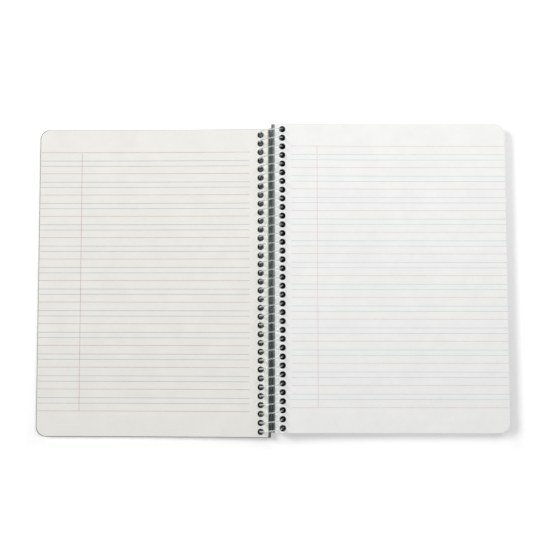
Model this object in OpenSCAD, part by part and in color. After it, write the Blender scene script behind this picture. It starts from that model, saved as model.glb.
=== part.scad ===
// Open spiral notebook, lying flat: two stacks of ruled leaves between card
// covers, all threaded on one round plastic coil.
// The coil's axis runs along Y at x = 0. The table is at z = 0.

/* [Leaves] */
// Width of a leaf, from its gutter edge to its fore-edge
page_w = 210; // [150:1:240]
// Height of a leaf
page_h = 280; // [200:1:320]
// Thickness of the turned leaves, on the left
left_stack_t = 3.2; // [2:0.1:4.4]
// Thickness of the leaves still to turn, on the right
right_stack_t = 9.4; // [6:0.1:9.8]
// Radius of the leaves' outer corners
corner_r = 9; // [3:0.5:15]
// Radius of the curve that a stack's edges make, one leaf above the other
fan_r = 15; // [13:0.5:15.5]

/* [Covers] */
// Thickness of the cover card
cover_t = 0.5; // [0.3:0.1:0.9]
// How far a cover reaches past the furthest leaf
cover_lap = 0.5; // [0.3:0.1:4]
// How far a cover reaches past the leaves at its head and its foot
cover_end_lap = 0.9; // [0.3:0.1:4]
// Space between the two covers' gutter edges
cover_gap = 0.8; // [0.6:0.1:1.4]
// Width of the strip of each half that lies flat on the table
rest_w = 60; // [30:1:100]

/* [Punching] */
// Diameter of a punched hole
hole_d = 5.6; // [5.5:0.1:5.8]
// Distance from hole to hole
hole_pitch = 7.94; // [7.8:0.02:8.2]
// Distance from a leaf's gutter edge to the centre of its holes
hole_inset = 6.7; // [6:0.1:7.2]
// Least distance from an end hole's centre to the leaf's corner
hole_end = 4.5; // [4:0.1:8]

/* [Coil] */
// Radius of the coil, at the centre of its wire
coil_r = 10.4; // [10.2:0.1:12]
// Diameter of the wire
wire_d = 1.3; // [1:0.1:1.4]
// How far off the middle of its holes the wire lies while the notebook is open
wire_slack = 0.3; // [0.2:0.02:0.5]
// How far past the middle of the holes the wire lies at the axis's height
wire_lead = 0.2; // [0:0.05:0.4]
// Radius of the bend at each crimped end
crimp_r = 1.8; // [1.2:0.1:2]
// Length of the straight end past the bend
crimp_l = 2.2; // [1:0.1:2.6]

/* [Ruling] */
// Distance from a leaf's top edge to its first line
rule_top = 21; // [15:0.5:40]
// Least distance from the last line to a leaf's bottom edge
rule_bottom = 20; // [15:0.5:40]
// Distance from one red line to the next
rule_step = 19.7; // [12:0.1:30]
// Distance from a red line down to the upper blue line
upper_blue = 7.8; // [2:0.1:9]
// Distance from a red line down to the lower blue line
lower_blue = 12.7; // [9.5:0.1:11.5]
// Width of a printed line
rule_w = 0.4; // [0.2:0.1:1]
// Thickness of the ink
ink_t = 0.05; // [0.02:0.01:0.1]
// Distance from a leaf's left edge to its margin line
margin_line = 38.5; // [20:0.5:60]
// Where the lines end on the left page, measured from the gutter edge
left_rule_end = 16.8; // [14:0.1:40]
// Where the lines end on the right page, measured from the gutter edge
right_rule_end = 14.7; // [14:0.1:40]

/* [Hidden] */
$fn = 64;
// Sides of the notebook, as signs along X
LEFT = -1;
RIGHT = 1;
// Colours as printed, moulded and cut
card_colour = [0.10, 0.17, 0.15];
left_paper_colour = [0.92, 0.90, 0.87];
right_paper_colour = [0.94, 0.94, 0.94];
red_ink_colour = [0.86, 0.62, 0.60];
blue_ink_colour = [0.62, 0.70, 0.76];
coil_colour = [0.84, 0.88, 0.87];
// Height of the coil's axis, with the wire resting on the table
axis_z = coil_r + wire_d / 2;
// A cover hangs on the wire where the two gutter edges just clear each other
cover_hole_x = hole_inset + cover_gap / 2;
lift = axis_z - sqrt(coil_r ^ 2 - cover_hole_x ^ 2) - cover_t / 2;
// From the axis to the furthest hole, and to the centre of the leaves' fan
far_hole_x = coil_r - wire_lead;
fan_x = far_hole_x - fan_r;
// Furthest fore-edge of any leaf, and the covers' fore-edge
leaf_reach = page_w - hole_inset + far_hole_x;
cover_reach = leaf_reach + cover_lap;
// The flat strip's inner edge, and the number of flats that form the rise
rest_x = cover_reach - rest_w;
rise_steps = 10;
// A beam lifted at its end slopes there by this share of its mean slope
end_slope = 1.5;
// Holes down each half, and groups of lines down each page
hole_count = floor((page_h - 2 * hole_end) / hole_pitch) + 1;
rule_groups = floor((page_h - rule_top - rule_bottom) / rule_step);
// What the wire climbs from the middle of the left stack, over the top, to
// the middle of the right one. The right half lies that much higher up the
// page, less the slack in its holes
wire_gain = hole_pitch * (180 + stack_angle(left_stack_t) + stack_angle(right_stack_t)) / 360;
page_offset = wire_gain - 2 * wire_slack;
coil_y = hole_pitch * (stack_angle(left_stack_t) - stack_angle(right_stack_t)) / 720;
// The coil is a chain of round arcs, this many to a turn
arcs_per_turn = 3;
half_arc = 180 / arcs_per_turn;
tilt = arc_tilt(half_arc / 10, 8);
half_sweep = arc_half_sweep(tilt);
arc_r = arc_radius(tilt);
// A bead at each join keeps the chain whole, and is too slight to see
bead_d = wire_d + 0.03;
// Angle that a leaf tunnel's cut runs past the stack's middle each way
tunnel_reach = 36;
// Numbers of sides of the finest curves
LEAF_FN = 180;
WIRE_FN = 24;

// Share of the lift at a share t of the rise: a beam's curve as far as the
// holes, and straight past them
function beam(t) = t < 1 ? t ^ 2 * (3 - t) / 2 : 1 + end_slope * (t - 1);

// Height of a half's underside at a distance x from the axis: flat on the
// table, then along the flats of the rise
function underside(x) =
    let (steps = rise_steps * max(0, (rest_x - x) / (rest_x - cover_hole_x)),
         k = floor(steps))
    lift * ((k + 1 - steps) * beam(k / rise_steps) + (steps - k) * beam((k + 1) / rise_steps));

// Distances from the axis where a layer's outline bends, from x0 to x1
function outline_x(x0, x1) =
    let (run = (rest_x - cover_hole_x) / rise_steps,
         bends = [for (k = [0 : rise_steps]) cover_hole_x + run * k])
    concat([x0], [for (x = bends) if (x > x0 && x < x1) x], [x1]);

// Outline of a layer between two heights over the underside
function layer_outline(x0, x1, low, high) =
    let (xs = outline_x(x0, x1))
    concat([for (k = [0 : len(xs) - 1]) [xs[k], underside(xs[k]) + low]],
           [for (k = [len(xs) - 1 : -1 : 0]) [xs[k], underside(xs[k]) + high]]);

// Distance down from the axis to a height over the underside at the wire
function drop(height) = axis_z - underside(coil_r) - height;

// Angles below the axis at which the wire, and the leaves' fan, pass it
function wire_angle(height) = asin(drop(height) / coil_r);
function fan_angle(height) = asin(drop(height) / fan_r);

// Angle below the axis of the wire, and of the fan, in the middle of a stack
function stack_angle(stack_t) =
    (wire_angle(cover_t) + wire_angle(cover_t + stack_t)) / 2;
function tunnel_angle(stack_t) =
    (fan_angle(cover_t) + fan_angle(cover_t + stack_t)) / 2;

// Tilt at which a stack's tunnels climb as the wire does
function tunnel_tilt(stack_t) =
    let (wire_turn = wire_angle(cover_t) - wire_angle(cover_t + stack_t),
         fan_turn = fan_angle(cover_t) - fan_angle(cover_t + stack_t))
    atan(hole_pitch * wire_turn / (2 * PI * fan_r * fan_turn));

// Distance from the axis to the gutter edge of a stack's top leaf
function gutter_x(stack_t) =
    fan_x + fan_r * cos(fan_angle(cover_t + stack_t)) - hole_inset;

// Half the sweep of a tilted arc, and its radius, so that each arc of the
// chain runs straight on into the next
function arc_half_sweep(tilt) = atan(cos(tilt) * tan(half_arc));
function arc_radius(tilt) =
    coil_r / (1 - sin(tilt) ^ 2 * cos(arc_half_sweep(tilt)));

// Tilt at which the chain climbs one pitch a turn, closer with each step
function arc_tilt(tilt, steps) =
    let (half_width = arc_radius(tilt) * sin(arc_half_sweep(tilt)))
    steps == 0 ? tilt
    : arc_tilt(asin(hole_pitch / (2 * arcs_per_turn * half_width)), steps - 1);

// Height of red line k, from the middle of the page
function rule_y(k) = page_h / 2 - rule_top - k * rule_step;

// Puts a half drawn on the right onto its own side of the notebook
module place_half(side) {
    translate([0, side * page_offset / 2, 0])
        mirror([side < 0 ? 1 : 0, 0, 0])
            children();
}

// Turns an outline in X and Z into a solid along Y
module along_y(length) {
    rotate([90, 0, 0])
        linear_extrude(length, center = true)
            children();
}

// Puts a shape round the Z axis onto the coil's axis: angles then run from
// +X down under the coil, and heights run up the page
module on_coil_axis() {
    translate([0, 0, axis_z])
        rotate([-90, 0, 0])
            children();
}

// One copy for each hole down a half
module hole_row() {
    for (k = [0 : hole_count - 1])
        translate([0, (k - (hole_count - 1) / 2) * hole_pitch, 0])
            children();
}

// Room inside a sheet's outline, rounded at its two outer corners
module sheet_outline(reach, height) {
    straight_w = reach - corner_r;
    linear_extrude(4 * axis_z, center = true) {
        translate([0, -height / 2])
            square([straight_w, height]);
        translate([0, corner_r - height / 2])
            square([reach, height - 2 * corner_r]);
        for (end = [-1, 1])
            translate([straight_w, end * (height / 2 - corner_r)])
                circle(corner_r);
    }
}

module cover(side) {
    height = page_h + 2 * cover_end_lap;
    color(card_colour)
        place_half(side)
            difference() {
                intersection() {
                    along_y(height)
                        polygon(layer_outline(cover_gap / 2, cover_reach, 0, cover_t));
                    sheet_outline(cover_reach, height);
                }
                hole_row()
                    translate([cover_hole_x, 0, 0])
                        cylinder(d = hole_d, h = axis_z);
            }
}

// The leaves hang on the wire one above the other, the lower ones pulled as
// far out as their holes let them. Their gutter edges and their fore-edges
// both fan out along one curve
module stack_profile(stack_t) {
    punched_w = page_w - hole_inset;
    difference() {
        intersection() {
            polygon(layer_outline(0, leaf_reach, cover_t, cover_t + stack_t));
            union() {
                translate([punched_w + fan_x, axis_z - lift])
                    circle(fan_r, $fn = LEAF_FN);
                square([punched_w, 2 * axis_z]);
            }
        }
        translate([fan_x - hole_inset, axis_z])
            circle(fan_r, $fn = LEAF_FN);
    }
}

// The way through one hole of every leaf in a stack, bent along the fan
module leaf_tunnel(side, stack_t) {
    middle = tunnel_angle(stack_t);
    translate([side * fan_x, 0, 0])
        on_coil_axis()
            rotate([0, 0, side > 0 ? middle : 180 - middle])
                rotate([tunnel_tilt(stack_t), 0, 0])
                    rotate([0, 0, -tunnel_reach])
                        rotate_extrude(angle = 2 * tunnel_reach, $fn = LEAF_FN)
                            translate([fan_r, 0])
                                circle(d = hole_d);
}

module leaf_stack(side, stack_t) {
    difference() {
        place_half(side)
            intersection() {
                along_y(page_h)
                    stack_profile(stack_t);
                sheet_outline(leaf_reach, page_h);
            }
        translate([0, side * page_offset / 2, 0])
            hole_row()
                leaf_tunnel(side, stack_t);
    }
}

// A printed stroke on a top leaf, centred on y. It starts and ends at two
// distances from the leaf's gutter edge
module stroke(start, end, y, length, stack_t) {
    edge = gutter_x(stack_t);
    top = cover_t + stack_t;
    translate([0, y, 0])
        along_y(length)
            polygon(layer_outline(edge + start, edge + end, top, top + ink_t));
}

// The lines that open each group, and the margin line across them all
module red_rules(side, stack_t, rule_end, margin) {
    color(red_ink_colour)
        place_half(side) {
            for (k = [0 : rule_groups])
                stroke(rule_end, page_w - rule_w, rule_y(k), rule_w, stack_t);
            stroke(margin - rule_w / 2, margin + rule_w / 2,
                   (rule_y(0) + rule_y(rule_groups)) / 2, rule_groups * rule_step, stack_t);
        }
}

module blue_rules(side, stack_t, rule_end) {
    color(blue_ink_colour)
        place_half(side)
            for (k = [0 : rule_groups - 1], drop = [upper_blue, lower_blue])
                stroke(rule_end, page_w - rule_w, rule_y(k) - drop, rule_w, stack_t);
}

module front_cover() {
    cover(LEFT);
}

module back_cover() {
    cover(RIGHT);
}

module left_pages() {
    color(left_paper_colour)
        leaf_stack(LEFT, left_stack_t);
}

module right_pages() {
    color(right_paper_colour)
        leaf_stack(RIGHT, right_stack_t);
}

module left_red_rules() {
    red_rules(LEFT, left_stack_t, left_rule_end, page_w - margin_line);
}

module left_blue_rules() {
    blue_rules(LEFT, left_stack_t, left_rule_end);
}

module right_red_rules() {
    red_rules(RIGHT, right_stack_t, right_rule_end, margin_line);
}

module right_blue_rules() {
    blue_rules(RIGHT, right_stack_t, right_rule_end);
}

// A length of wire bent round the Z axis, from +X on
module bent_wire(radius, sweep) {
    rotate_extrude(angle = sweep, $fn = LEAF_FN)
        translate([radius, 0])
            circle(d = wire_d, $fn = WIRE_FN);
}

// One arc of the chain: its middle lies on +X, and its far end has the bead
module coil_arc() {
    rotate([tilt, 0, 0])
        translate([coil_r - arc_r, 0, 0]) {
            rotate([0, 0, -half_sweep])
                bent_wire(arc_r, 2 * half_sweep);
            rotate([0, 0, half_sweep])
                translate([arc_r, 0, 0])
                    sphere(d = bead_d, $fn = WIRE_FN);
        }
}

// The wire's end under the covers, bent back along the spine so that the
// coil can't unscrew. The wire leaves it towards -X
module crimped_end() {
    slope = atan(hole_pitch / (2 * PI * coil_r));
    translate([crimp_r * sin(slope), crimp_r * cos(slope), 0]) {
        rotate([0, 0, -90 - slope])
            bent_wire(crimp_r, 90 + slope);
        translate([crimp_r, 0, 0]) {
            sphere(d = bead_d, $fn = WIRE_FN);
            rotate([-90, 0, 0])
                cylinder(d = wire_d, h = crimp_l, $fn = WIRE_FN);
        }
    }
    sphere(d = bead_d, $fn = WIRE_FN);
}

module spiral_coil() {
    arc_count = hole_count * arcs_per_turn;
    half_length = hole_count * hole_pitch / 2;
    // Joins lie closer to the axis than the arcs' middles do
    join_r = arc_r * sin(half_sweep) * cos(tilt) / sin(half_arc);
    color(coil_colour) translate([0, coil_y, 0]) {
        on_coil_axis()
            for (k = [0 : arc_count - 1])
                rotate([0, 0, 90 + (k + 0.5) * 360 / arcs_per_turn])
                    translate([0, 0, (k + 0.5) * hole_pitch / arcs_per_turn - half_length])
                        coil_arc();
        for (end = [0, 180])
            rotate([0, 0, end])
                translate([0, -half_length, axis_z - join_r])
                    crimped_end();
    }
}

front_cover();
left_pages();
left_red_rules();
left_blue_rules();
back_cover();
right_pages();
right_red_rules();
right_blue_rules();
spiral_coil();
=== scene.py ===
import math
import random

import bpy
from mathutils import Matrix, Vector


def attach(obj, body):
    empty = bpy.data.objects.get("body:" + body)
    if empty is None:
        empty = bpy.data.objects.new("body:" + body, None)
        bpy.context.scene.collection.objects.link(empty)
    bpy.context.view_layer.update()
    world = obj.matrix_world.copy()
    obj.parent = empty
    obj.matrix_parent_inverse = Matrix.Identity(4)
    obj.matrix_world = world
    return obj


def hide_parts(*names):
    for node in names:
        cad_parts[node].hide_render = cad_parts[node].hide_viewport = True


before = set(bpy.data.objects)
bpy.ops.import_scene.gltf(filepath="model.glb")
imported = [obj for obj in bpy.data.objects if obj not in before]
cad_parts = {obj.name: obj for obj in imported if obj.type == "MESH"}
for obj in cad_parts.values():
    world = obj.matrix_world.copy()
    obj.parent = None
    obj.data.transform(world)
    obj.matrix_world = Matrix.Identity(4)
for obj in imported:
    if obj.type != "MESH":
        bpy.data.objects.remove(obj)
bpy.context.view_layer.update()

# Covers

# Two sheets of dark green card, half a millimetre thick. Each is die-cut with
# rounded outer corners, coated on the outside, and punched along its spine.
# They keep their CAD solids and take their finish here.

MM = 0.001
PAGE_HEIGHT = 280 * MM
COVER_THICKNESS = 0.5 * MM
# From the coil's axis to a cover's fore-edge, and from the leaves' ends to a cover's end
COVER_REACH = 214 * MM
COVER_END_LAP = 0.9 * MM
# The right half lies this far up the page, and the left half as far down
HALF_OFFSET = 2.264 * MM
CARD_DARK = (0.060, 0.098, 0.088, 1)
CARD_LIGHT = (0.085, 0.128, 0.115, 1)
# Bare fibre, where the coating is worn off along the outer edges
CARD_FIBRE = (0.34, 0.38, 0.35, 1)
WEAR_WIDTH = 1.1 * MM
WEAR_SPAN = (0.52, 0.68)
# Painted shade on the covers' inner faces beside the spine, where the leaves shade them
CARD_PAINTED_SHADE = (0.014, 0.022, 0.020, 1)
SPINE_STRIP = 5 * MM
STRIP_EDGE = 1 * MM
# How far a face looks up before it counts as an inner one
INNER_FACE = (0.2, 0.6)
# Where down the page that painted shade begins, is full, starts to fade and is gone
SHADE_START = -5 * MM
SHADE_FULL = -125 * MM
SHADE_FADES = -138 * MM
SHADE_GONE = -141 * MM
# Features a metre in the card's colour, wear, gloss and surface
CARD_CLOUDS = 90
CARD_SCUFFS = 1400
CARD_GLOSS = 600
CARD_GRAIN = 2600
CARD_ROUGHNESS = (0.42, 0.60)
CARD_RELIEF = 0.03 * MM
# Part of the noise's range that nearly all of it lies in, and a narrower part for soft patches
GRAIN_SPAN = (0.30, 0.70)
CLOUD_SPAN = (0.35, 0.65)


def new_finish(name):
    """A node material, with its tree and its shader."""
    material = bpy.data.materials.new(name)
    material.use_nodes = True
    tree = material.node_tree
    return material, tree, tree.nodes["Principled BSDF"]


def add_node(tree, kind, values=None, **settings):
    """A node with its own settings, and constant values for its sockets."""
    node = tree.nodes.new(kind)
    for key, value in settings.items():
        setattr(node, key, value)
    for socket, value in (values or {}).items():
        node.inputs[socket].default_value = value
    return node


def split(tree, vector):
    """The X, Y and Z of a place or a direction."""
    parts = add_node(tree, "ShaderNodeSeparateXYZ")
    tree.links.new(vector, parts.inputs[0])
    return parts.outputs


def grain(tree, place, scale, detail=4, roughness=0.6):
    """Noise of so many features a metre, as a value from 0 to 1."""
    noise = add_node(tree, "ShaderNodeTexNoise",
                     {"Scale": scale, "Detail": detail, "Roughness": roughness})
    tree.links.new(place, noise.inputs["Vector"])
    return noise.outputs["Fac"]


def spread(tree, value, low, high, to_low=0.0, to_high=1.0):
    """Stretches a part of a value's range, and holds it at the two ends."""
    mapped = add_node(tree, "ShaderNodeMapRange",
                      {"From Min": low, "From Max": high, "To Min": to_low, "To Max": to_high})
    tree.links.new(value, mapped.inputs["Value"])
    return mapped.outputs["Result"]


def clouds(tree, place, scale, detail=4, roughness=0.6):
    """Soft patches, as a value from 0 to 1."""
    return spread(tree, grain(tree, place, scale, detail, roughness), *CLOUD_SPAN)


def blend_colour(tree, share, first, second, mode="MIX"):
    """Mixes two colours, each a constant or a socket, by a share."""
    mix = add_node(tree, "ShaderNodeMix", data_type="RGBA", blend_type=mode)
    for socket, value in ((mix.inputs[0], share), (mix.inputs[6], first), (mix.inputs[7], second)):
        if isinstance(value, bpy.types.NodeSocket):
            tree.links.new(value, socket)
        else:
            socket.default_value = value
    return mix.outputs[2]


def sums(tree, operation, first, second=None):
    """One step of arithmetic on values or sockets."""
    step = add_node(tree, "ShaderNodeMath", operation=operation)
    for socket, value in zip(step.inputs, (first, second)):
        if isinstance(value, bpy.types.NodeSocket):
            tree.links.new(value, socket)
        elif value is not None:
            socket.default_value = value
    return step.outputs[0]


def uneven_gloss(tree, shader, place, scale, roughness):
    """Roughness that wanders between two values over the surface."""
    wandering = spread(tree, grain(tree, place, scale), *GRAIN_SPAN, *roughness)
    tree.links.new(wandering, shader.inputs["Roughness"])


def relief(tree, shader, height, depth, strength):
    """Gives a shader a bump of a real depth in metres."""
    bump = add_node(tree, "ShaderNodeBump", {"Strength": strength, "Distance": depth})
    tree.links.new(height, bump.inputs["Height"])
    tree.links.new(bump.outputs["Normal"], shader.inputs["Normal"])


def painted_foot_shade(tree, along):
    """Depth of the painted shade at the spine, which grows down the page and ends with the right half.
    """
    growth = spread(tree, along, SHADE_START, SHADE_FULL)
    return sums(tree, "MULTIPLY", growth, spread(tree, along, SHADE_GONE, SHADE_FADES))


def card_finish():
    """Coated board: cloudy dark green, pale fibre where the edges wear, painted shade at the spine."""
    material, tree, shader = new_finish("cover_card")
    coords = add_node(tree, "ShaderNodeTexCoord")
    place = coords.outputs["Object"]
    axes = split(tree, place)
    colour = blend_colour(tree, clouds(tree, place, CARD_CLOUDS), CARD_DARK, CARD_LIGHT)
    out_x = sums(tree, "ABSOLUTE", axes["X"])
    out_y = sums(tree, "ABSOLUTE", axes["Y"])
    head = PAGE_HEIGHT / 2 + COVER_END_LAP + HALF_OFFSET
    near_x = spread(tree, out_x, COVER_REACH - WEAR_WIDTH, COVER_REACH)
    near_y = spread(tree, out_y, head - WEAR_WIDTH, head)
    edge = sums(tree, "MAXIMUM", near_x, near_y)
    scuffs = spread(tree, grain(tree, place, CARD_SCUFFS, detail=6, roughness=0.7), *WEAR_SPAN)
    colour = blend_colour(tree, sums(tree, "MULTIPLY", edge, scuffs), colour, CARD_FIBRE)
    facing = split(tree, coords.outputs["Normal"])
    inner_face = spread(tree, facing["Z"], *INNER_FACE)
    near_spine = spread(tree, out_x, SPINE_STRIP, SPINE_STRIP - STRIP_EDGE)
    strip = sums(tree, "MULTIPLY", inner_face, near_spine)
    # Painted shade on the inner faces beside the spine, darker towards the foot
    shade = sums(tree, "MULTIPLY", strip, painted_foot_shade(tree, axes["Y"]))
    colour = blend_colour(tree, shade, colour, CARD_PAINTED_SHADE)
    tree.links.new(colour, shader.inputs["Base Color"])
    uneven_gloss(tree, shader, place, CARD_GLOSS, CARD_ROUGHNESS)
    relief(tree, shader, grain(tree, place, CARD_GRAIN, detail=5), CARD_RELIEF, strength=0.5)
    return material


card = card_finish()
for name in ("front_cover", "back_cover"):
    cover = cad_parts[name]
    cover.data.materials.clear()
    cover.data.materials.append(card)

# Leaves

# Two stacks of uncoated writing paper, each leaf punched with 35 round holes.
# The leaves hang on the wire, so each lies where the coil's curve puts it,
# and the edges step along that curve at the spine and at the fore-edge.

COIL_RADIUS = 10.4 * MM
WIRE = 1.3 * MM
AXIS_HEIGHT = COIL_RADIUS + WIRE / 2
PITCH = 7.94 * MM
HOLES = 35
HOLE_RADIUS = 2.8 * MM
HOLE_INSET = 6.7 * MM
PAGE_WIDTH = 210 * MM
CORNER_RADIUS = 9 * MM
CORNER_STEPS = 10
# From the axis to the covers' holes, and the height of the covers' undersides there
COVER_HOLE = 7.1 * MM
LIFT = AXIS_HEIGHT - math.sqrt(COIL_RADIUS ** 2 - COVER_HOLE ** 2) - COVER_THICKNESS / 2
# Each half lies flat on its outer strip, and rises from there to the spine in flats
REST_WIDTH = 60 * MM
REST = COVER_REACH - REST_WIDTH
RISE_STEPS = 10
BENDS = [COVER_HOLE + (REST - COVER_HOLE) * k / RISE_STEPS for k in range(1, RISE_STEPS + 1)]
# A lifted sheet's slope at its end, as a share of its mean slope
END_SLOPE = 1.5
PUNCHED_WIDTH = PAGE_WIDTH - HOLE_INSET
# The curve that the leaves' edges make, and how far past the holes' middle the wire lies
FAN_RADIUS = 15 * MM
WIRE_LEAD = 0.2 * MM
FAN_CENTRE = COIL_RADIUS - WIRE_LEAD - FAN_RADIUS
LEFT_STACK = 3.2 * MM
RIGHT_STACK = 9.4 * MM
# One drawn leaf stands for two real ones, with a gap of a hair below it
LEAF = 0.2 * MM
LEAF_GAP = 0.008 * MM
# How far a leaf may be out of line, cut short, and kept back inside the covers' edge
SLIP = 0.10 * MM
TRIM = 0.22 * MM
SETBACK = 0.12 * MM
# Sides of a hole's rim, in the top leaves that are seen and in the rest
FINE_LEAVES = 2
FINE_RIM = 32
PLAIN_RIM = 16
# Distance within which a point counts as lying on an edge
EDGE_BAND = 0.1 * MM
LEFT_PAPER = (0.810, 0.800, 0.760, 1)
RIGHT_PAPER = (0.870, 0.870, 0.862, 1)
# Painted shade inside the punched holes
HOLE_PAINTED_SHADE = (0.030, 0.032, 0.031, 1)
# Painted shade on the cut edges at the spine, and deeper painted shade on the same edges near the foot
SPINE_PAINTED_SHADE = (0.17, 0.185, 0.18, 1)
SPINE_FOOT_PAINTED_SHADE = (0.02, 0.026, 0.024, 1)
# Share of that shade at the top leaf, and at the cover
SPINE_SHARES = (0.35, 0.95)
# The painted shade of the holes fades out between these shares of their radius
HOLE_FADE = (1.05, 1.01)
# Features a metre in the paper's colour, fibres, gloss and surface
PAPER_CLOUDS = 55
PAPER_FIBRES = 1900
PAPER_GLOSS = 700
PAPER_GRAIN = 2400
PAPER_ROUGHNESS = (0.78, 0.92)
PAPER_RELIEF = 0.02 * MM
PAPER_SPECULAR = 0.3
# Darkest tone of the clouds, and of the fibres
CLOUD_TONE = 0.965
FIBRE_TONE = 0.955
# The wave's scale at which each line is one real sheet, 0.1 mm thick
SHEET_LINES = 3141.6
# How far a face looks up or down where it is no longer a cut edge, and where it wholly is one
CUT_EDGE = (0.8, 0.3)
# Tone of the cut edges, and how much the sheets' lines and the leaves' own tones take off it
EDGE_TONE = 0.95
LINE_DEPTH = 0.10
LEAF_DEPTH = 0.16


def beam(t):
    """Share of the lift at a share t of the rise from table to spine."""
    return t * t * (3 - t) / 2 if t < 1 else 1 + END_SLOPE * (t - 1)


def underside(x):
    """Height of a half's underside, flat on the table and then rising in flats."""
    steps = RISE_STEPS * max(0, (REST - x) / (REST - COVER_HOLE))
    k = math.floor(steps)
    return LIFT * ((k + 1 - steps) * beam(k / RISE_STEPS) + (steps - k) * beam((k + 1) / RISE_STEPS))


def drop(height):
    """Distance down from the coil's axis to a height over the underside."""
    return AXIS_HEIGHT - underside(COIL_RADIUS) - height


def wire_angle(height):
    """Angle below the axis at which the wire passes that height."""
    return math.asin(drop(height) / COIL_RADIUS)


def stack_angle(thickness):
    """Angle below the axis of the middle of a stack."""
    return (wire_angle(COVER_THICKNESS) + wire_angle(COVER_THICKNESS + thickness)) / 2


def hole_place(height, thickness):
    """Where a leaf's holes lie: distance from the axis, and climb up the page."""
    x = FAN_CENTRE + math.sqrt(FAN_RADIUS ** 2 - drop(height) ** 2)
    return x, (wire_angle(height) - stack_angle(thickness)) * PITCH / math.tau


def leaf_plan(gutter, fore, half_height, hole_x, hole_y, sides):
    """Points and faces of one punched leaf seen from above, on the right half."""
    points, faces = [], []

    def add(x, y):
        points.append((x, y))
        return len(points) - 1

    # The punched strip, with four fans of faces round each hole
    inner = BENDS[0]
    rim_radius = HOLE_RADIUS / math.cos(math.pi / sides)
    quarter = sides // 4
    bottom = -half_height
    low = add(gutter, bottom), add(inner, bottom)
    strip_edge = [low[1]]
    for k in range(HOLES):
        centre = (k - (HOLES - 1) / 2) * PITCH
        if k == 0:
            row = add(gutter, centre - PITCH / 2), add(inner, centre - PITCH / 2)
            faces.append([low[0], low[1], row[1], row[0]])
            strip_edge.append(row[1])
        top = add(gutter, centre + PITCH / 2), add(inner, centre + PITCH / 2)
        rim = [add(hole_x + rim_radius * math.cos(math.tau * j / sides),
                   centre + hole_y + rim_radius * math.sin(math.tau * j / sides))
               for j in range(sides)]
        corners = [top[1], top[0], row[0], row[1]]
        for q, corner in enumerate(corners):
            for j in range(q * quarter, (q + 1) * quarter):
                faces.append([corner, rim[(j + 1) % sides], rim[j]])
            faces.append([corner, corners[(q + 1) % 4], rim[(q + 1) * quarter % sides]])
        strip_edge.append(top[1])
        row = top
    high = add(gutter, half_height), add(inner, half_height)
    faces.append([row[0], row[1], high[1], high[0]])
    strip_edge.append(high[1])

    # The plain sheet, in flats down to the table
    previous = add(BENDS[1], bottom), add(BENDS[1], half_height)
    faces.append([*strip_edge[::-1], previous[0], previous[1]])
    for x in BENDS[2:]:
        following = add(x, bottom), add(x, half_height)
        faces.append([previous[0], following[0], following[1], previous[1]])
        previous = following

    # The strip that lies flat, with its two rounded corners
    outer = [previous[1], previous[0]]
    for end in (-1, 1):
        for j in range(CORNER_STEPS + 1):
            share = j / CORNER_STEPS
            turn = math.pi / 2 * (share if end < 0 else 1 - share)
            outer.append(add(fore - CORNER_RADIUS + CORNER_RADIUS * math.sin(turn),
                             end * (half_height - CORNER_RADIUS + CORNER_RADIUS * math.cos(turn))))
    faces.append(outer)
    return points, faces


def outline(plan):
    """Edges of a plan that belong to one face only."""
    edges = [(a, b) for face in plan for a, b in zip(face, face[1:] + face[:1])]
    known = set(edges)
    return [(a, b) for a, b in edges if (b, a) not in known]


def leaf_stack(name, side, thickness, seed):
    """One mesh of many thin leaves, each a closed slab with its punched holes."""
    layers = round(thickness / LEAF)
    dice = random.Random(seed)
    vertices, faces, tones, punched = [], [], [], []
    for k in range(layers):
        low = COVER_THICKNESS + k * thickness / layers
        high = COVER_THICKNESS + (k + 1) * thickness / layers
        middle = (low + high) / 2
        hole_x, hole_y = hole_place(middle, thickness)
        top_leaf = k == layers - 1
        slip = 0 if top_leaf else dice.uniform(-SLIP, SLIP)
        trim = 0 if top_leaf else dice.uniform(0, TRIM)
        gutter = hole_x - HOLE_INSET + slip
        fan = math.sqrt(FAN_RADIUS ** 2 - (AXIS_HEIGHT - LIFT - middle) ** 2)
        fore = PUNCHED_WIDTH + FAN_CENTRE - SETBACK + slip + fan
        sides = FINE_RIM if k >= layers - FINE_LEAVES else PLAIN_RIM
        points, plan = leaf_plan(gutter, fore, PAGE_HEIGHT / 2 - trim, hole_x, hole_y, sides)
        rims = outline(plan)
        walls = [all(gutter + EDGE_BAND < points[corner][0] < BENDS[0] - EDGE_BAND for corner in rim)
                 for rim in rims]
        base, count = len(vertices), len(points)
        for height in (low + LEAF_GAP, high):
            vertices += [(side * x, side * HALF_OFFSET + y, underside(x) + height) for x, y in points]
        shape = [[base + count + v for v in face] for face in plan]
        shape += [[base + v for v in reversed(face)] for face in plan]
        shape += [[base + a, base + b, base + count + b, base + count + a] for a, b in rims]
        if side < 0:
            shape = [face[::-1] for face in shape]
        faces += shape
        tones += [dice.random()] * len(shape)
        punched += [0] * (len(shape) - len(rims)) + [int(wall) for wall in walls]
    mesh = bpy.data.meshes.new(name)
    mesh.from_pydata(vertices, [], faces)
    tone = mesh.attributes.new("leaf_tone", "FLOAT", "FACE")
    tone.data.foreach_set("value", tones)
    wall = mesh.attributes.new("hole_wall", "FLOAT", "FACE")
    wall.data.foreach_set("value", punched)
    mesh.validate()
    mesh.update()
    stack = bpy.data.objects.new(name, mesh)
    bpy.context.scene.collection.objects.link(stack)
    return stack


def paper_face(tree, place, colour):
    """A leaf's face: faint clouds, and the fibres of the sheet."""
    darker = tuple(c * CLOUD_TONE for c in colour[:3]) + (1,)
    soft = clouds(tree, place, PAPER_CLOUDS, detail=5, roughness=0.65)
    cloudy = blend_colour(tree, soft, darker, colour)
    fibres = spread(tree, grain(tree, place, PAPER_FIBRES, detail=6, roughness=0.75),
                    *GRAIN_SPAN, FIBRE_TONE, 1.0)
    return blend_colour(tree, 1.0, cloudy, fibres, "MULTIPLY")


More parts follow.
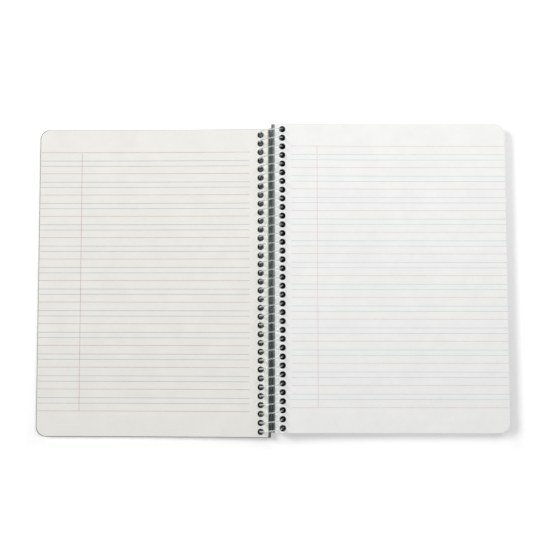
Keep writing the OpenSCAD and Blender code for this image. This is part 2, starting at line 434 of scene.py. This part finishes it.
def cut_edges(tree, place, colour):
    """The cut edges: a line for each sheet, a tone for each leaf, and painted shade on the walls in
    the holes.
    """
    lines = add_node(tree, "ShaderNodeTexWave", {"Scale": SHEET_LINES, "Distortion": 1.5, "Detail": 2},
                     wave_type="BANDS", bands_direction="Z")
    tree.links.new(place, lines.inputs["Vector"])
    tone = add_node(tree, "ShaderNodeAttribute", attribute_name="leaf_tone")
    taken_off = sums(tree, "ADD", sums(tree, "MULTIPLY", lines.outputs["Fac"], LINE_DEPTH),
                     sums(tree, "MULTIPLY", tone.outputs["Fac"], LEAF_DEPTH))
    edge = blend_colour(tree, 1.0, colour, sums(tree, "SUBTRACT", EDGE_TONE, taken_off), "MULTIPLY")
    wall = add_node(tree, "ShaderNodeAttribute", attribute_name="hole_wall")
    return blend_colour(tree, wall.outputs["Fac"], edge, HOLE_PAINTED_SHADE)


def spine_shade(tree, axes, thickness):
    """Share of the painted shade on the cut edges at the spine, which deepens down to the cover."""
    gutter = hole_place(COVER_THICKNESS + thickness, thickness)[0] - HOLE_INSET
    spine = spread(tree, sums(tree, "ABSOLUTE", axes["X"]), gutter + EDGE_BAND, gutter - EDGE_BAND)
    top = underside(gutter) + COVER_THICKNESS + thickness
    depth = spread(tree, axes["Z"], top, LIFT + COVER_THICKNESS, *SPINE_SHARES)
    return sums(tree, "MULTIPLY", spine, depth)


def inside_holes(tree, axes, side, thickness):
    """One inside the punched holes, and nothing elsewhere."""
    hole_x, hole_y = hole_place(COVER_THICKNESS + thickness, thickness)
    across = sums(tree, "SUBTRACT", sums(tree, "ABSOLUTE", axes["X"]), hole_x)
    row = sums(tree, "SUBTRACT", axes["Y"], side * HALF_OFFSET + hole_y)
    step = sums(tree, "FLOORED_MODULO", sums(tree, "ADD", row, PITCH / 2), PITCH)
    along = sums(tree, "SUBTRACT", step, PITCH / 2)
    reach = sums(tree, "SQRT", sums(tree, "ADD", sums(tree, "MULTIPLY", across, across),
                                    sums(tree, "MULTIPLY", along, along)))
    in_row = sums(tree, "LESS_THAN", sums(tree, "ABSOLUTE", row), HOLES * PITCH / 2)
    in_hole = spread(tree, reach, HOLE_RADIUS * HOLE_FADE[0], HOLE_RADIUS * HOLE_FADE[1])
    return sums(tree, "MULTIPLY", in_hole, in_row)


def paper_finish(name, colour, side, thickness):
    """Uncoated paper, with its faces, its cut edges, and painted shade at the spine and in the holes.
    """
    material, tree, shader = new_finish(name)
    coords = add_node(tree, "ShaderNodeTexCoord")
    place = coords.outputs["Object"]
    axes = split(tree, place)
    facing = split(tree, coords.outputs["Normal"])
    cut = spread(tree, sums(tree, "ABSOLUTE", facing["Z"]), *CUT_EDGE)
    paper = blend_colour(tree, cut, paper_face(tree, place, colour), cut_edges(tree, place, colour))
    # Painted shade on the leaves at the spine, darker towards the foot
    spine_painted_shade = blend_colour(tree, painted_foot_shade(tree, axes["Y"]), SPINE_PAINTED_SHADE, SPINE_FOOT_PAINTED_SHADE)
    paper = blend_colour(tree, spine_shade(tree, axes, thickness), paper, spine_painted_shade)
    # Painted shade on everything seen down the punched holes
    paper = blend_colour(tree, inside_holes(tree, axes, side, thickness), paper, HOLE_PAINTED_SHADE)
    tree.links.new(paper, shader.inputs["Base Color"])
    shader.inputs["Specular IOR Level"].default_value = PAPER_SPECULAR
    uneven_gloss(tree, shader, place, PAPER_GLOSS, PAPER_ROUGHNESS)
    fine_grain = grain(tree, place, PAPER_GRAIN, detail=6, roughness=0.7)
    relief(tree, shader, fine_grain, PAPER_RELIEF, strength=0.6)
    return material


for name, side, thickness, body, colour in (
        ("left", -1, LEFT_STACK, "front_half", LEFT_PAPER),
        ("right", 1, RIGHT_STACK, "back_half", RIGHT_PAPER)):
    stack = leaf_stack(name + "_leaves", side, thickness, seed=7 + side)
    stack.data.materials.append(paper_finish(name + "_paper", colour, side, thickness))
    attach(stack, body)
    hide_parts(name + "_pages")

# Ruling

# Pale red and pale blue lines, offset-printed on both faces of every leaf.
# The ink soaks into the paper, so it is uneven and thins out in places. The
# right page took less of it than the left one.

# Each printed node's colour where the ink is full, and where it is thin
INKS = {
    "left_red_rules": ((0.52, 0.34, 0.33, 1), (0.64, 0.49, 0.47, 1)),
    "left_blue_rules": ((0.36, 0.42, 0.46, 1), (0.50, 0.54, 0.56, 1)),
    "right_red_rules": ((0.64, 0.50, 0.49, 1), (0.76, 0.66, 0.64, 1)),
    "right_blue_rules": ((0.52, 0.58, 0.62, 1), (0.64, 0.68, 0.70, 1)),
}
# Features a metre in the ink's thin patches, its bare specks and its gloss
INK_PATCHES = 160
INK_SPECKS = 2500
INK_GLOSS = 900
# How thin a patch gets, and the part of the noise that shows as specks
PATCH_SHARE = 0.8
SPECK_SPAN = (0.45, 0.75)
INK_ROUGHNESS = (0.7, 0.9)
INK_RELIEF = 0.01 * MM


def ink_finish(name, full, thin):
    """Printed ink, its cover uneven along the line."""
    material, tree, shader = new_finish(name)
    place = add_node(tree, "ShaderNodeTexCoord").outputs["Object"]
    patches = clouds(tree, place, INK_PATCHES, detail=5, roughness=0.7)
    specks = spread(tree, grain(tree, place, INK_SPECKS, roughness=0.7), *SPECK_SPAN)
    share = sums(tree, "MAXIMUM", sums(tree, "MULTIPLY", patches, PATCH_SHARE), specks)
    tree.links.new(blend_colour(tree, share, full, thin), shader.inputs["Base Color"])
    shader.inputs["Specular IOR Level"].default_value = PAPER_SPECULAR
    uneven_gloss(tree, shader, place, INK_GLOSS, INK_ROUGHNESS)
    fine_grain = grain(tree, place, PAPER_GRAIN, detail=6, roughness=0.7)
    relief(tree, shader, fine_grain, INK_RELIEF, strength=0.5)
    return material


for node, (full, thin) in INKS.items():
    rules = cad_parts[node]
    rules.data.materials.clear()
    rules.data.materials.append(ink_finish(node + "_ink", full, thin))

# Coil

# One length of clear plastic wire, wound warm into a helix of 35 turns and
# screwed through the holes. Each end is bent back under the covers, so that
# the coil can't unscrew.

TURNS = HOLES
TURN_STEPS = 48
WIRE_SIDES = 14
# A hair under the full 1.3 mm, so that the round wire stays inside its CAD solid
WIRE_DRAWN = 1.24 * MM
# The rings of a rounded tip, as shares of the wire's radius and shares of its width past the end
ROUNDED_TIP = ((0.55, 0.16), (0.9, 0.08))
CRIMP_RADIUS = 1.8 * MM
CRIMP_LENGTH = 2.2 * MM
CRIMP_STEPS = 3
BEND_STEPS = 8
# The coil's middle along the spine, where both rows of holes share the wire's slack alike
COIL_Y = PITCH * (stack_angle(LEFT_STACK) - stack_angle(RIGHT_STACK)) / (2 * math.tau)
COIL_PLASTIC = (0.80, 0.86, 0.84, 1)
COIL_MILKY = (0.72, 0.78, 0.76, 1)
# Features a metre in the plastic's milkiness, its gloss and its draw marks
MILK_CLOUDS = 300
COIL_GLOSS = 1500
DRAW_MARKS = 1800
COIL_ROUGHNESS = (0.06, 0.16)
COIL_RELIEF = 0.02 * MM


def coil_path():
    """Centre line of the wire, from one crimped tip to the other."""
    half = TURNS * PITCH / 2
    slope = math.atan(PITCH / (math.tau * COIL_RADIUS))
    crimp = [(CRIMP_RADIUS * (1 + math.sin(slope)),
              CRIMP_RADIUS * math.cos(slope) + CRIMP_LENGTH * k / CRIMP_STEPS)
             for k in range(CRIMP_STEPS, 0, -1)]
    for k in range(BEND_STEPS):
        turn = -(math.pi / 2 + slope) * k / BEND_STEPS
        crimp.append((CRIMP_RADIUS * (math.sin(slope) + math.cos(turn)),
                      CRIMP_RADIUS * (math.cos(slope) + math.sin(turn))))
    start = [Vector((x, COIL_Y - half + y, AXIS_HEIGHT - COIL_RADIUS)) for x, y in crimp]
    end = [Vector((-x, COIL_Y + half - y, AXIS_HEIGHT - COIL_RADIUS)) for x, y in crimp]
    turns = []
    for k in range(TURNS * TURN_STEPS + 1):
        angle = math.pi / 2 + math.tau * k / TURN_STEPS
        turns.append(Vector((COIL_RADIUS * math.cos(angle),
                             COIL_Y + PITCH * k / TURN_STEPS - half,
                             AXIS_HEIGHT - COIL_RADIUS * math.sin(angle))))
    return start + turns + end[::-1]


def wire_mesh(name, path):
    """A round wire along a path, with its cut ends closed and slightly rounded."""
    vertices, faces = [], []
    across = Vector((0, 0, 1))
    last = len(path) - 1
    rings = [(0, share, -push) for share, push in ROUNDED_TIP]
    rings += [(k, 1.0, 0.0) for k in range(1, last)]
    rings += [(last, share, push) for share, push in reversed(ROUNDED_TIP)]
    for k, share, push in rings:
        along = (path[min(k + 1, last)] - path[max(k - 1, 0)]).normalized()
        across = (across - along * across.dot(along)).normalized()
        third = along.cross(across)
        centre = path[k] + along * push * WIRE_DRAWN
        for j in range(WIRE_SIDES):
            turn = math.tau * j / WIRE_SIDES
            outward = across * math.cos(turn) + third * math.sin(turn)
            vertices.append(centre + outward * WIRE_DRAWN / 2 * share)
    count = len(rings)
    for k in range(count - 1):
        for j in range(WIRE_SIDES):
            a = k * WIRE_SIDES + j
            b = k * WIRE_SIDES + (j + 1) % WIRE_SIDES
            faces.append([a, b, b + WIRE_SIDES, a + WIRE_SIDES])
    faces.append(list(range(WIRE_SIDES))[::-1])
    faces.append([(count - 1) * WIRE_SIDES + j for j in range(WIRE_SIDES)])
    mesh = bpy.data.meshes.new(name)
    mesh.from_pydata(vertices, [], faces)
    mesh.update()
    for face in mesh.polygons:
        face.use_smooth = len(face.vertices) == 4
    wire = bpy.data.objects.new(name, mesh)
    bpy.context.scene.collection.objects.link(wire)
    return wire


def coil_finish():
    """Clear plastic, slightly milky, with fine draw marks."""
    material, tree, shader = new_finish("coil_plastic")
    place = add_node(tree, "ShaderNodeTexCoord").outputs["Object"]
    colour = blend_colour(tree, clouds(tree, place, MILK_CLOUDS), COIL_MILKY, COIL_PLASTIC)
    tree.links.new(colour, shader.inputs["Base Color"])
    shader.inputs["Transmission Weight"].default_value = 0.80
    shader.inputs["IOR"].default_value = 1.46
    uneven_gloss(tree, shader, place, COIL_GLOSS, COIL_ROUGHNESS)
    relief(tree, shader, grain(tree, place, DRAW_MARKS, detail=3), COIL_RELIEF, strength=0.3)
    return material


coil = wire_mesh("coil_wire", coil_path())
coil.data.materials.append(coil_finish())
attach(coil, "coil")
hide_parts("spiral_coil")

# Table and light

# A white table top under the notebook. A soft lamp stands far off to the left,
# a weaker one hangs over the head end, and the pale room lights the rest, so
# that the shadows fall right and down.

TABLE_SIZE = 6
TABLE_GAP = 0.05 * MM
TABLE_WHITE = 0.90
TABLE_DULL = 0.89
TABLE_CLOUDS = 30
# Painted glow that helps the table's white: beside the notebook, past its shadow, and far off
GLOW_BESIDE = 0.10
GLOW_CLEAR = 0.40
GLOW_FAR = 1.0
# Distances from the notebook at which the shadow ends, and at which the table's far part begins
SHADOW_SPAN = (6 * MM, 40 * MM)
FAR_SPAN = (300 * MM, 1500 * MM)
# Close under the edges nothing helps it: reach of that contact shade, and where it starts and ends
CONTACT_REACH = 20 * MM
CONTACT_SPAN = (0.30, 0.58)
# Painted light on the table past the head and foot, which lightens the shadow there most where the
# notebook hides the room
GLOW_PAINTED_FILL = 0.60
PAINTED_FILL_EDGE = 0.5 * MM
ROOM_LIGHT = 0.36
# Each lamp's name, place, width and power
LAMPS = (("side_lamp", (-1.85, 0.80, 1.60), 0.95, 39.2),
         ("head_lamp", (0.30, 0.50, 0.80), 0.70, 4.05))


def seen_rays(tree):
    """One for the rays that show a thing itself: to the camera, in gloss and through plastic."""
    rays = add_node(tree, "ShaderNodeLightPath").outputs
    mirrored = sums(tree, "MAXIMUM", rays["Is Glossy Ray"], rays["Is Transmission Ray"])
    return sums(tree, "MAXIMUM", rays["Is Camera Ray"], mirrored)


def table_finish():
    """White by painted glow for the camera, and in gloss and clear plastic, with the shadow kept."""
    material, tree, shader = new_finish("table_white")
    place = add_node(tree, "ShaderNodeTexCoord").outputs["Object"]
    axes = split(tree, place)
    shader.inputs["Roughness"].default_value = 0.8
    shader.inputs["Specular IOR Level"].default_value = 0.2
    tone = spread(tree, grain(tree, place, TABLE_CLOUDS), *GRAIN_SPAN, TABLE_DULL, TABLE_WHITE)
    tree.links.new(tone, shader.inputs["Base Color"])
    half_middle = sums(tree, "MULTIPLY", sums(tree, "SIGN", axes["X"]), HALF_OFFSET)
    out_y = sums(tree, "ABSOLUTE", sums(tree, "SUBTRACT", axes["Y"], half_middle))
    past_side = sums(tree, "SUBTRACT", sums(tree, "ABSOLUTE", axes["X"]), COVER_REACH)
    past_end = sums(tree, "SUBTRACT", out_y, PAGE_HEIGHT / 2 + COVER_END_LAP)
    beside = sums(tree, "MAXIMUM", past_side, past_end)
    near_glow = spread(tree, beside, *SHADOW_SPAN, GLOW_BESIDE, GLOW_CLEAR)
    far_glow = spread(tree, beside, *FAR_SPAN, 0, GLOW_FAR - GLOW_CLEAR)
    contact = add_node(tree, "ShaderNodeAmbientOcclusion", {"Distance": CONTACT_REACH}, samples=12)
    openness = contact.outputs["AO"]
    glow = sums(tree, "MULTIPLY", sums(tree, "ADD", near_glow, far_glow),
                spread(tree, openness, *CONTACT_SPAN))
    hidden = sums(tree, "SUBTRACT", 1.0, openness)
    # Painted light that lightens the shadow past the head and foot
    painted_fill = sums(tree, "MULTIPLY", hidden,
                  spread(tree, past_end, -PAINTED_FILL_EDGE, PAINTED_FILL_EDGE, 0, GLOW_PAINTED_FILL))
    # The table's glow is painted light, seen by the camera, in gloss and through plastic only
    strength = sums(tree, "MULTIPLY", seen_rays(tree), sums(tree, "ADD", glow, painted_fill))
    painted_glow = add_node(tree, "ShaderNodeEmission", {"Color": (1, 1, 1, 1)})
    tree.links.new(strength, painted_glow.inputs["Strength"])
    added = add_node(tree, "ShaderNodeAddShader")
    tree.links.new(shader.outputs[0], added.inputs[0])
    tree.links.new(painted_glow.outputs[0], added.inputs[1])
    tree.links.new(added.outputs[0], tree.nodes["Material Output"].inputs["Surface"])
    return material


half = TABLE_SIZE / 2
table_mesh = bpy.data.meshes.new("table_top")
table_mesh.from_pydata([(-half, -half, 0), (half, -half, 0), (half, half, 0), (-half, half, 0)],
                       [], [[0, 1, 2, 3]])
table = bpy.data.objects.new("table_top", table_mesh)
table.location.z = -TABLE_GAP
bpy.context.scene.collection.objects.link(table)
table.data.materials.append(table_finish())

for name, place, width, power in LAMPS:
    lamp_data = bpy.data.lights.new(name, "AREA")
    lamp_data.shape = "DISK"
    lamp_data.size = width
    lamp_data.energy = power
    lamp = bpy.data.objects.new(name, lamp_data)
    lamp.location = place
    lamp.rotation_euler = (-Vector(place)).to_track_quat("-Z", "Y").to_euler()
    bpy.context.scene.collection.objects.link(lamp)

room = bpy.data.worlds.new("pale_room")
room.use_nodes = True
bpy.context.scene.world = room
room_tree = room.node_tree
air = room_tree.nodes["Background"]
air.inputs["Color"].default_value = (1, 1, 1, 1)
room_strength = spread(room_tree, seen_rays(room_tree), 0, 1, ROOM_LIGHT, 1.0)
room_tree.links.new(room_strength, air.inputs["Strength"])

# Camera

# It is held over the open pages, a little below and left of their middle. It
# looks almost straight down, and its shift brings the pages into the frame.

# Its turn from straight down, in degrees about X, Y and Z
CAMERA_TURN = (3.7977, 0.5736, 0.0603)

camera_data = bpy.data.cameras.new("camera")
camera_data.sensor_width = 36
camera_data.lens = 55.161
camera_data.shift_x = 0.0662
camera_data.shift_y = -0.0516
camera = bpy.data.objects.new("camera", camera_data)
camera.location = (-0.02194, -0.02146, 0.77455)
camera.rotation_euler = [math.radians(degrees) for degrees in CAMERA_TURN]
bpy.context.scene.collection.objects.link(camera)
bpy.context.scene.camera = camera
bpy.context.scene.view_settings.view_transform = "Standard"
